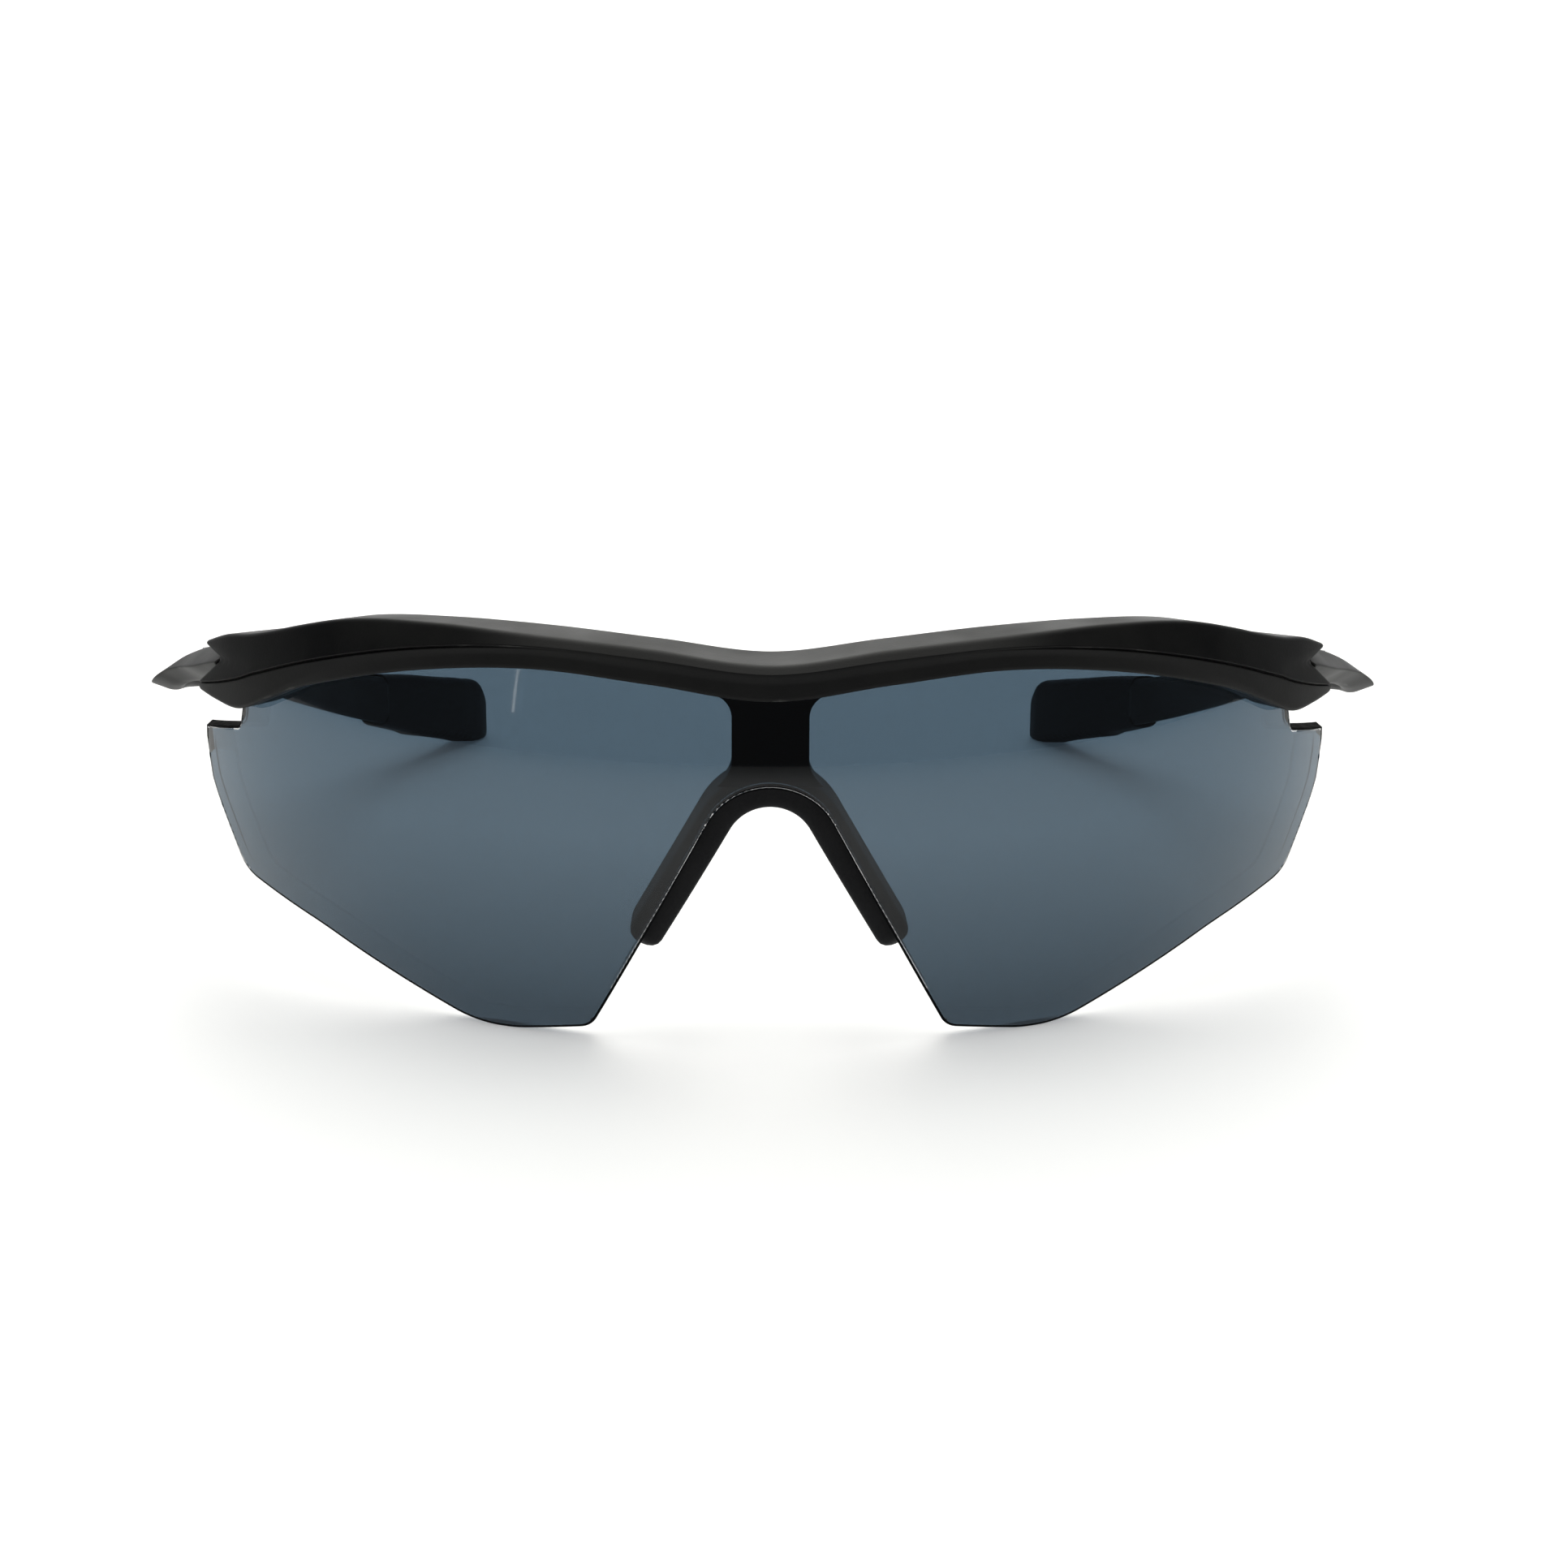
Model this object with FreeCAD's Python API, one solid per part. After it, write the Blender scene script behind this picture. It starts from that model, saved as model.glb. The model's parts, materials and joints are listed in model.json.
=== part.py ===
"""Wraparound sport sunglasses: one-piece shield lens under a half-rim brow, folding temples.

Millimetres. +Z up, the lens faces -Y, the temples run towards +Y, the wearer's right is -X.
The glasses stand open on a table: lens edge and ear-sock tips touch z = 0.
Shapes are worked out with the lens apex at y = 0 and moved to the middle of the length at the end.
"""
import FreeCAD, Part
import math
import os

V = FreeCAD.Vector

# ---- lens: a spherical shield ----
lens_radius = 80.0          # outer surface
lens_thickness = 1.8
lens_centre_z = 22.5        # height of the sphere's centre above the table
# x, z and corner radius round the right half, from the nose cut-out's apex to the top of the middle
lens_corners = (
    (0.0, 37.3, 7.5),
    (19.15, 1.25, 2.4),
    (27.5, 0.0, 14.0),
    (32.0, 0.0, 13.0),
    (50.0, 8.4, 40.0),
    (60.5, 12.2, 4.0),
    (64.4, 20.6, 30.0),
    (66.8, 27.8, 0.9),
    (60.2, 29.5, 0.9),
    (59.6, 33.6, 0.8),
    (52.0, 37.0, 6.0),
    (41.0, 40.4, 20.0),
    (24.0, 42.3, 20.0),
    (9.0, 41.0, 10.0),
    (0.0, 39.6, 12.0),
)

# ---- brow frame ----
brow_front_offset = 2.4     # the ridge stands this far in front of the lens surface
brow_crease_offset = 1.9
brow_top_offset = 1.6
brow_lip_offset = 1.6
brow_lip_rear_offset = -2.9
brow_lip_rise = 0.3         # the lip's underside climbs this much towards the rear
groove_gap = 0.05
# azimuth, rear radius from the sphere's vertical axis, top rear z, top front z, ridge z, lower crease z,
# lip z, lower rear z
brow_stations = (
    (0.0, 73.5, 42.3, 41.7, 40.9, 40.0, 38.0, 40.8),
    (9.0, 73.5, 43.5, 43.1, 42.2, 41.2, 39.5, 42.1),
    (18.0, 73.5, 44.4, 44.0, 43.0, 42.2, 40.5, 43.0),
    (27.0, 73.5, 44.5, 44.5, 42.2, 41.2, 39.6, 42.6),
    (36.0, 73.5, 43.6, 43.8, 40.0, 38.5, 37.2, 41.0),
    (41.0, 73.4, 42.2, 42.4, 38.3, 36.0, 35.3, 39.3),
    (44.0, 73.0, 41.2, 41.4, 37.1, 34.0, 33.7, 37.7),
    (47.5, 72.0, 40.3, 40.4, 35.8, 32.3, 32.0, 35.8),
    (51.0, 71.0, 39.6, 39.7, 34.7, 32.5, 32.2, 34.4),
    (54.0, 70.6, 38.5, 38.5, 33.9, 33.0, 32.7, 33.6),
)
lug_end_azimuth = 54.0
brow_section_step = 3.0     # degrees between the sections the brow is drawn through

# ---- notch in the lug's end, filled by the temple's tongue ----
notch_apex_azimuth = 50.5
notch_apex_z = 37.1
notch_open_azimuth = 55.5
notch_low_z = 31.8
notch_high_z = 38.6
notch_inner_radius = 75.6
notch_outer_radius = 90.0

# ---- nose post, fork and pad ----
post_width = 8.1
post_rear_y = 6.2
post_top_z = 41.0
pad_leg_angle = 60.0        # legs above the horizontal
pad_arch_radius = 6.65      # centre line over the nose
pad_arch_top_z = 28.2       # centre line
pad_leg_end_z = 12.3
pad_half_width = 1.85
pad_rear_y = 11.0
fork_half_width = 0.7
fork_leg_end_z = 15.0
fork_front_y = 3.2
fork_rear_y = 5.6

# ---- hinges ----
pin_radius = 0.6
pin_clearance = 0.05
pin_axis_radius = 72.7      # from the sphere's vertical axis
pin_axis_reach = 3.4        # behind the lug's end face
knuckle_radius = 1.9
knuckle_room = 0.7          # between the knuckle and the arm
hinge_mid_z = 34.7
knuckle_height = 2.2
washer_thickness = 0.35
washer_inset = 0.2
stack_clearance = 0.025
ear_thickness = 0.9
screw_head_radius = 1.15
screw_head_height = 0.45
screw_slot = (2.6, 0.3, 0.2)
plate_thickness = 1.0
plate_inner_radius = 70.8
plate_width = 4.2
ear_root = 0.2              # how far the ears' necks reach into the plate
seam_gap = 0.35
anchor_radius = 0.45
anchor_length = 3.0
anchor_head_radius = 0.8
anchor_head_height = 0.35
anchor_slot = (1.8, 0.15, 0.2)
# leaf on the temple's inner face: front and rear end of its outer side, thickness, z range
leaf_front = (67.0, 42.1)
leaf_rear = (69.6, 45.8)
leaf_thickness = 1.1
leaf_low_z = 32.2
leaf_high_z = 34.2
# neck from the knuckle to the arm: corners beside the pin, as x and y from the pin's axis
neck_front_start = (0.3, -1.85)
neck_front_bend = (2.2, -1.2)
neck_rear_start = (-0.4, 1.85)
neck_overlap = 1.0               # the neck runs this far along the leaf
temple_screw_along = 3.1         # from the leaf's front end
temple_screw_radius = 0.45
temple_screw_length = 2.6
temple_screw_head = (0.8, 0.4)   # radius, height

# ---- temples ----
# y, outer ridge x, inner face x, middle z, height
arm_stations = (
    (26.0, 60.8, 54.4, 37.6, 4.9),
    (30.0, 63.6, 57.4, 36.9, 4.9),
    (36.0, 67.5, 61.8, 35.3, 4.7),
    (41.0, 70.5, 65.5, 34.1, 4.0),
    (45.0, 73.1, 68.6, 32.8, 3.2),
    (48.0, 75.0, 70.7, 31.4, 2.7),
    (51.0, 76.1, 71.9, 30.2, 2.4),
    (55.0, 75.8, 71.8, 29.7, 2.4),
    (60.0, 74.3, 70.6, 29.2, 3.0),
    (66.0, 73.0, 69.5, 28.5, 3.8),
    (75.0, 72.3, 68.8, 27.1, 4.8),
    (90.0, 70.9, 67.4, 23.2, 6.0),
    (105.0, 68.3, 64.8, 18.8, 6.8),
    (118.0, 64.8, 61.2, 14.7, 7.2),
    (130.0, 60.7, 57.0, 11.3, 7.8),
)
# share of the thickness outwards, share of the height from the middle
arm_profile = ((0.0, -0.32), (0.20, -0.50), (0.42, -0.48), (1.0, -0.10), (0.44, 0.44), (0.20, 0.50), (0.0, 0.34))
# y, middle x, lower z, upper z, thickness
sock_stations = (
    (126.0, 60.7, 8.3, 16.6, 4.5),
    (134.0, 57.3, 5.6, 15.0, 5.0),
    (142.0, 53.9, 3.3, 13.1, 5.3),
    (149.0, 51.1, 1.2, 11.5, 5.5),
    (153.5, 49.5, -0.4, 10.1, 5.3),
    (156.5, 48.6, -1.0, 7.4, 4.2),
)
sock_corner_share = 0.36         # corner radius as a share of the thickness
sock_front_y = sock_stations[0][0]
tip_y = sock_stations[-1][0]
peg_thickness = 2.2
peg_height = 4.0
peg_root = (118.0, 63.0, 14.7)   # y, x and z where the peg grows out of the arm


def sphere_rho(offset, z):
    """Distance from the sphere's vertical axis to the surface offset from the lens, at height z."""
    return math.sqrt((lens_radius + offset) ** 2 - (z - lens_centre_z) ** 2)


def polar(rho, azimuth, z):
    """Point at a radius and azimuth about the sphere's vertical axis; azimuth 0 faces -Y."""
    a = math.radians(azimuth)
    return V(rho * math.sin(a), lens_radius - rho * math.cos(a), z)


def closed_wire(points):
    return Part.makePolygon(list(points) + [points[0]])


def closed_face(points):
    return Part.Face(closed_wire(points))


def mirrored(shape):
    return shape.mirror(V(0, 0, 0), V(1, 0, 0))


middle_ridge_z = brow_stations[0][4]
front_y = lens_radius - sphere_rho(brow_front_offset, middle_ridge_z)
origin_y = (front_y + tip_y) / 2.0


def rounded_outline(corners):
    """Closed wire in the XZ plane from (x, z, radius) corners, each rounded by a tangent arc."""
    edges = []
    count = len(corners)
    starts = []
    for i, (x, z, r) in enumerate(corners):
        here = V(x, 0, z)
        back = V(corners[i - 1][0], 0, corners[i - 1][1]) - here
        ahead = V(corners[(i + 1) % count][0], 0, corners[(i + 1) % count][1]) - here
        back.normalize()
        ahead.normalize()
        half = back.getAngle(ahead) / 2.0
        reach = r / math.tan(half)
        first = here + back * reach
        last = here + ahead * reach
        bisector = back + ahead
        bisector.normalize()
        middle = here + bisector * (r / math.sin(half) - r)
        starts.append((first, middle, last))
    for i, (first, middle, last) in enumerate(starts):
        edges.append(Part.Arc(first, middle, last).toShape())
        edges.append(Part.LineSegment(last, starts[(i + 1) % count][0]).toShape())
    return Part.Wire(edges)


def lens_outline():
    """Front outline of the shield: nose cut-out, sweeping lower edge, notch under each lug."""
    left = [(-x, z, r) for x, z, r in reversed(lens_corners[1:-1])]
    return rounded_outline(list(lens_corners) + left)


def spherical_shell(outer, inner):
    centre = V(0, lens_radius, lens_centre_z)
    return Part.makeSphere(outer, centre).cut(Part.makeSphere(inner, centre))


def lens_shape(growth=0.0):
    """Shell of the sphere inside the outline; growth thickens it for the brow's groove."""
    shell = spherical_shell(lens_radius + growth, lens_radius - lens_thickness - growth)
    slab = Part.Face(lens_outline()).extrude(V(0, 60, 0))
    slab.translate(V(0, -5, 0))
    return slab.common(shell)


def station_slopes(rows):
    """Slope of every column at each station; level at the first, where the two halves mirror."""
    slopes = [[0.0] * len(rows[0])]
    for before, here, after in zip(rows[:-2], rows[1:-1], rows[2:]):
        back = here[0] - before[0]
        ahead = after[0] - here[0]
        slopes.append([(back * (c - b) / ahead + ahead * (b - a) / back) / (back + ahead)
                       for a, b, c in zip(before, here, after)])
    last = rows[-1][0] - rows[-2][0]
    slopes.append([(b - a) / last for a, b in zip(rows[-2], rows[-1])])
    return slopes


def even_sections(rows, step):
    """Rows at even steps of the first column, on cubics through the given rows."""
    slopes = station_slopes(rows)
    filled = []
    for n in range(round((rows[-1][0] - rows[0][0]) / step) + 1):
        place = rows[0][0] + n * step
        i = max(k for k in range(len(rows) - 1) if rows[k][0] <= place)
        width = rows[i + 1][0] - rows[i][0]
        t = (place - rows[i][0]) / width
        start = (1.0 + 2.0 * t) * (1.0 - t) ** 2
        leave = width * t * (1.0 - t) ** 2
        arrive = width * t * t * (t - 1.0)
        columns = zip(rows[i], rows[i + 1], slopes[i], slopes[i + 1])
        values = [a * start + b * (1.0 - start) + sa * leave + sb * arrive for a, b, sa, sb in columns]
        filled.append([place] + values[1:])
    return filled


def brow_section(station):
    azimuth, rear_radius, rear_z, front_z, ridge_z, crease_z, lip_z, low_rear_z = station
    lip_rear_z = lip_z + brow_lip_rise
    corners = (
        (rear_radius, rear_z),
        (sphere_rho(brow_top_offset, front_z), front_z),
        (sphere_rho(brow_front_offset, ridge_z), ridge_z),
        (sphere_rho(brow_crease_offset, crease_z), crease_z),
        (sphere_rho(brow_lip_offset, lip_z), lip_z),
        (sphere_rho(brow_lip_rear_offset, lip_rear_z), lip_rear_z),
        (rear_radius, low_rear_z),
    )
    return closed_wire([polar(rho, azimuth, z) for rho, z in corners])


def lug_notch(gap):
    """Wedge through the lug's end, open outwards and backwards, that the arm's tongue fills."""
    apex_azimuth = notch_apex_azimuth + math.degrees(gap / lens_radius)
    wires = []
    for rho in (notch_inner_radius + gap, notch_outer_radius):
        apex = polar(rho, apex_azimuth, notch_apex_z)
        low = polar(rho, notch_open_azimuth, notch_low_z + gap)
        high = polar(rho, notch_open_azimuth, notch_high_z - gap)
        wires.append(closed_wire((apex, low, high)))
    return Part.makeLoft(wires, True, True)


def end_block(start, depth):
    """Box behind the lug's end plane, from start to start + depth along its normal."""
    return hinge_frame(Part.makeBox(240, depth, 80, V(-110, start, -20)))


def hinge_frame(shape):
    """Places a hinge piece: local x is the radius, local y runs backwards from the lug's end plane."""
    placed = shape.copy()
    placed.rotate(V(0, 0, 0), V(0, 0, 1), lug_end_azimuth - 90.0)
    placed.translate(V(0, lens_radius, 0))
    return placed


def pin_point():
    return hinge_frame(Part.Vertex(V(pin_axis_radius, pin_axis_reach, hinge_mid_z))).Point


def upright(radius, z_low, z_high):
    """Cylinder on the hinge pin's axis, in hinge coordinates."""
    return Part.makeCylinder(radius, z_high - z_low, V(pin_axis_radius, pin_axis_reach, z_low))


stack_half = knuckle_height / 2.0 + washer_thickness + 2.0 * stack_clearance
ear_low_z = hinge_mid_z - stack_half - ear_thickness
ear_high_z = hinge_mid_z + stack_half + ear_thickness


def hinge_plate():
    return Part.makeBox(plate_width, plate_thickness, ear_high_z - ear_low_z,
                        V(plate_inner_radius, -plate_thickness, ear_low_z))


def anchor_shank():
    return Part.makeCylinder(anchor_radius, anchor_length, V(pin_axis_radius, -anchor_length, hinge_mid_z), V(0, 1, 0))


def front_hinge():
    """Plate let into the lug's end with two ears that reach back round the pin."""
    block = hinge_plate()
    for low in (ear_low_z, hinge_mid_z + stack_half):
        neck = Part.makeBox(2.0 * knuckle_radius, pin_axis_reach + ear_root, ear_thickness,
                            V(pin_axis_radius - knuckle_radius, -ear_root, low))
        block = block.fuse(neck).fuse(upright(knuckle_radius, low, low + ear_thickness))
    block = block.cut(upright(pin_radius, ear_low_z - 1, ear_high_z + 1))
    recess = upright(screw_head_radius, ear_high_z - screw_head_height, ear_high_z + 1)
    return block.cut(recess).cut(anchor_shank()).removeSplitter()


def hinge_screw():
    """Pin of the hinge: plain shank with a slotted head in the upper ear."""
    shank = upright(pin_radius, ear_low_z, ear_high_z)
    head = upright(screw_head_radius, ear_high_z - screw_head_height, ear_high_z)
    length, width, depth = screw_slot
    slot = Part.makeBox(length, width, depth,
                        V(pin_axis_radius - length / 2.0, pin_axis_reach - width / 2.0, ear_high_z - depth))
    return shank.fuse(head).cut(slot).removeSplitter()


def anchor_screw():
    """Short screw that holds the plate to the lug, between the ears."""
    head = Part.makeCylinder(anchor_head_radius, anchor_head_height, V(pin_axis_radius, 0, hinge_mid_z), V(0, 1, 0))
    length, depth, width = anchor_slot
    slot = Part.makeBox(length, depth, width,
                        V(pin_axis_radius - length / 2.0, anchor_head_height - depth, hinge_mid_z - width / 2.0))
    return anchor_shank().fuse(head).cut(slot).removeSplitter()


def hinge_washers():
    rings = []
    for low in (hinge_mid_z - stack_half + stack_clearance,
                hinge_mid_z + knuckle_height / 2.0 + stack_clearance):
        ring = upright(knuckle_radius - washer_inset, low, low + washer_thickness)
        rings.append(ring.cut(upright(pin_radius + pin_clearance, low - 1, low + 1)))
    return Part.makeCompound(rings)


def arm_section(y, outer_x, inner_x, mid_z, height):
    return closed_wire([V(inner_x + u * (outer_x - inner_x), y, mid_z + v * height) for u, v in arm_profile])


def leaf_axes():
    """Direction of the leaf towards the ear, and the direction out through the arm."""
    along = V(leaf_rear[0] - leaf_front[0], leaf_rear[1] - leaf_front[1], 0)
    along.normalize()
    return along, V(along.y, -along.x, 0)


def temple_hinge():
    """Knuckle on the pin, a neck to the arm and a leaf let into the arm's inner face."""
    low = hinge_mid_z - knuckle_height / 2.0
    pin = pin_point()
    knuckle = Part.makeCylinder(knuckle_radius, knuckle_height, V(pin.x, pin.y, low))
    along, outward = leaf_axes()
    front = V(leaf_front[0], leaf_front[1], 0)
    rear = V(leaf_rear[0], leaf_rear[1], 0)
    inner_front = front - outward * leaf_thickness
    inner_rear = rear - outward * leaf_thickness
    beside_pin = [V(pin.x + dx, pin.y + dy, 0) for dx, dy in (neck_front_start, neck_front_bend, neck_rear_start)]
    overlap = along * neck_overlap
    neck_points = (beside_pin[0], beside_pin[1], front, front + overlap, inner_front + overlap, beside_pin[2])
    neck = closed_face([p + V(0, 0, low) for p in neck_points]).extrude(V(0, 0, knuckle_height))
    leaf_points = (front, rear, inner_rear, inner_front)
    leaf = closed_face([p + V(0, 0, leaf_low_z) for p in leaf_points]).extrude(V(0, 0, leaf_high_z - leaf_low_z))
    bore = Part.makeCylinder(pin_radius + pin_clearance, 20, V(pin.x, pin.y, low - 5))
    return knuckle.fuse(neck).fuse(leaf).cut(bore).removeSplitter()


def temple_screw():
    """Short screw through the leaf into the arm, its head on the inner side."""
    along, outward = leaf_axes()
    middle = V(leaf_front[0], leaf_front[1], (leaf_low_z + leaf_high_z) / 2.0) + along * temple_screw_along
    start = middle - outward * leaf_thickness
    head_radius, head_height = temple_screw_head
    shank = Part.makeCylinder(temple_screw_radius, temple_screw_length, start, outward)
    head = Part.makeCylinder(head_radius, head_height, start - outward * head_height, outward)
    return shank.fuse(head).removeSplitter()


def temple_arm():
    blank = Part.makeLoft([arm_section(*s) for s in arm_stations], True, False)
    keep = end_block(seam_gap, tip_y).fuse(lug_notch(seam_gap))
    before_sock = Part.makeBox(100, sock_front_y, 80, V(20, 0, -20))
    arm = blank.common(keep).common(before_sock)
    room = hinge_frame(upright(knuckle_radius + knuckle_room, 20, 50))
    return arm.cut(room).fuse(sock_peg())


def rounded_section(y, mid_x, low_z, high_z, thickness):
    """Rounded upright section of the sock at one y."""
    r = thickness * sock_corner_share
    half = thickness / 2.0
    corners = ((mid_x + half, low_z, r), (mid_x + half, high_z, r), (mid_x - half, high_z, r), (mid_x - half, low_z, r))
    wire = rounded_outline(corners)
    wire.translate(V(0, y, 0))
    return wire


def sock_peg():
    """Tail of the arm that the sock is pushed on to."""
    middles = [peg_root]
    for y, mid_x, low_z, high_z, _ in sock_stations[:4]:
        middles.append((y, mid_x, (low_z + high_z) / 2.0))
    sections = []
    for y, mid_x, mid_z in middles:
        low_z = mid_z - peg_height / 2.0
        sections.append(rounded_section(y, mid_x, low_z, low_z + peg_height, peg_thickness))
    return Part.makeLoft(sections, True, False)


def ear_sock():
    """Rubber sock with a flat where its tip rests on the table."""
    blank = Part.makeLoft([rounded_section(*s) for s in sock_stations], True, False)
    above_table = Part.makeBox(60, 60, 40, V(20, 110, 0))
    return blank.common(above_table)


def thick_arch(half_width, leg_end_z, y_front, y_rear):
    """Inverted V with a round top: legs and arch of constant width, extruded along Y."""
    a = math.radians(pad_leg_angle)
    centre_z = pad_arch_top_z - pad_arch_radius
    tangent = V(pad_arch_radius * math.sin(a), 0, centre_z + pad_arch_radius * math.cos(a))
    run = (tangent.z - leg_end_z) / math.sin(a)
    foot = tangent + V(math.cos(a), 0, -math.sin(a)) * run
    normal = V(math.sin(a), 0, math.cos(a))

    def side(point, s, w):
        return V(s * (point.x + normal.x * w), 0, point.z + normal.z * w)

    w = half_width
    outer_top = V(0, 0, pad_arch_top_z + w)
    inner_top = V(0, 0, pad_arch_top_z - w)
    tip = foot + V(math.cos(a), 0, -math.sin(a)) * w
    edges = [
        Part.LineSegment(side(foot, -1, w), side(tangent, -1, w)),
        Part.Arc(side(tangent, -1, w), outer_top, side(tangent, 1, w)),
        Part.LineSegment(side(tangent, 1, w), side(foot, 1, w)),
        Part.Arc(side(foot, 1, w), tip, side(foot, 1, -w)),
        Part.LineSegment(side(foot, 1, -w), side(tangent, 1, -w)),
        Part.Arc(side(tangent, 1, -w), inner_top, side(tangent, -1, -w)),
        Part.LineSegment(side(tangent, -1, -w), side(foot, -1, -w)),
        Part.Arc(side(foot, -1, -w), V(-tip.x, 0, tip.z), side(foot, -1, w)),
    ]
    face = Part.Face(Part.Wire([e.toShape() for e in edges]))
    face.translate(V(0, y_front, 0))
    return face.extrude(V(0, y_rear - y_front, 0))


def behind_lens(shape):
    """Keeps what lies behind the lens's inner surface."""
    ball = Part.makeSphere(lens_radius - lens_thickness - groove_gap, V(0, lens_radius, lens_centre_z))
    return shape.common(ball)


def nose_post():
    """Post from the brow down to the fork, behind the lens, with the fork's two prongs."""
    post = Part.makeBox(post_width, post_rear_y, post_top_z - pad_arch_top_z,
                        V(-post_width / 2.0, 0, pad_arch_top_z))
    fork = thick_arch(fork_half_width, fork_leg_end_z, fork_front_y, fork_rear_y)
    return behind_lens(post).fuse(fork)


def brow_half():
    sections = [brow_section(s) for s in even_sections(brow_stations, brow_section_step)]
    blank = Part.makeLoft(sections, True, False)
    return blank.cut(lug_notch(0.0)).cut(hinge_frame(hinge_plate())).cut(hinge_frame(anchor_shank()))


def brow_frame():
    half = brow_half()
    body = half.fuse(mirrored(half)).fuse(nose_post())
    return body.cut(lens_shape(groove_gap)).removeSplitter()


def nose_pad(frame):
    pad = behind_lens(thick_arch(pad_half_width, pad_leg_end_z, 0.0, pad_rear_y))
    return pad.cut(frame)


def build():
    nodes = {}
    frame = brow_frame()
    nodes["brow_frame"] = frame
    nodes["lens"] = lens_shape()
    nodes["nose_pad"] = nose_pad(frame)
    hinge = temple_hinge()
    screw = temple_screw()
    arm = temple_arm().cut(hinge).cut(screw)
    sock = ear_sock().cut(sock_peg())
    one_side = {
        "front_hinge": hinge_frame(front_hinge()),
        "hinge_screw": hinge_frame(hinge_screw()),
        "anchor_screw": hinge_frame(anchor_screw()),
        "hinge_washers": hinge_frame(hinge_washers()),
        "temple_hinge": hinge.cut(screw),
        "temple_screw": screw,
        "temple_arm": arm,
        "ear_sock": sock,
    }
    for name, shape in one_side.items():
        nodes[name + "_left"] = shape
        nodes[name + "_right"] = mirrored(shape)
    return nodes


os.makedirs("parts", exist_ok=True)
for name, shape in build().items():
    placed = shape.copy()
    placed.translate(V(0, -origin_y, 0))
    placed.exportStep("parts/" + name + ".step")
    print(name, len(placed.Solids), round(placed.Volume, 1), placed.isValid())
print("origin_y", origin_y, "pin", pin_point() - V(0, origin_y, 0))
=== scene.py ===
import json
import math
import bpy
import numpy as np
from mathutils import Matrix


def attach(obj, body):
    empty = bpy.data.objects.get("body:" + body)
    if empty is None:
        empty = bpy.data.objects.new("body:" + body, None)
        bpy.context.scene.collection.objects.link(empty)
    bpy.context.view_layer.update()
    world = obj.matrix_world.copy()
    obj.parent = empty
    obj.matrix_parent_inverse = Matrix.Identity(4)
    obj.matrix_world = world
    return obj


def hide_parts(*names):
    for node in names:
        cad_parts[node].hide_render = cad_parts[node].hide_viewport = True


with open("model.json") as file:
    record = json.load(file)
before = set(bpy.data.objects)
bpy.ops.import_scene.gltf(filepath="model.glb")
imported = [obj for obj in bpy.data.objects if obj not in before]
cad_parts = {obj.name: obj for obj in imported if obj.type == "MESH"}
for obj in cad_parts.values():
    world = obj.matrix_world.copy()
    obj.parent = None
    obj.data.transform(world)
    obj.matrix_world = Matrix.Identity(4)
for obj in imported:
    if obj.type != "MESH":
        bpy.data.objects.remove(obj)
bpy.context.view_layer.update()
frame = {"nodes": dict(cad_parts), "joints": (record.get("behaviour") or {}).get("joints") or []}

print("frame loaded:", len(frame["nodes"]), "nodes")

# Everything below is drawn in millimetres with the lens apex at y = 0, then moved into the frame.
# The lens sphere's upright axis is found from the left hinge pin, which stands beside the lug's end.
sphere = {
    "radius": 80.0,        # the lens's outer face
    "thickness": 1.8,
    "centreZ": 22.5,
    "pinRadius": 72.7,     # hinge pin, from the sphere's upright axis
    "pinReach": 3.4,       # hinge pin, behind the lug's end
    "lugEnd": 54.0,        # degrees round from the middle
}
sides = (("left", 1.0), ("right", -1.0))


def frameShift():
    # The pin stands pinRadius out along the lug's end and pinReach behind it, which gives the axis's y.
    pin = [j for j in frame["joints"] if j["name"] == "temple_left_fold"][0]["pos_m"]
    end = math.radians(sphere["lugEnd"])
    axisY = pin[1] * 1000 + sphere["pinRadius"] * math.cos(end) - sphere["pinReach"] * math.sin(end)
    return axisY - sphere["radius"]


shiftY = frameShift()


def hermite(table, at):
    # Cubic through the rows of a table: the first column is the place, the rest are the values there,
    # and the slope at a row is taken from its neighbours.
    rows = np.asarray(table, float)
    place, values = rows[:, 0], rows[:, 1:]
    slope = np.gradient(values, place, axis=0)
    at = np.clip(np.asarray(at, float), place[0], place[-1])
    i = np.clip(np.searchsorted(place, at) - 1, 0, len(place) - 2)
    h = (place[i + 1] - place[i])[..., None]
    t = (at - place[i])[..., None] / h
    start = values[i] * (1 + 2 * t) * (1 - t) ** 2 + h * slope[i] * t * (1 - t) ** 2
    return start + values[i + 1] * t * t * (3 - 2 * t) + h * slope[i + 1] * t * t * (t - 1)


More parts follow.
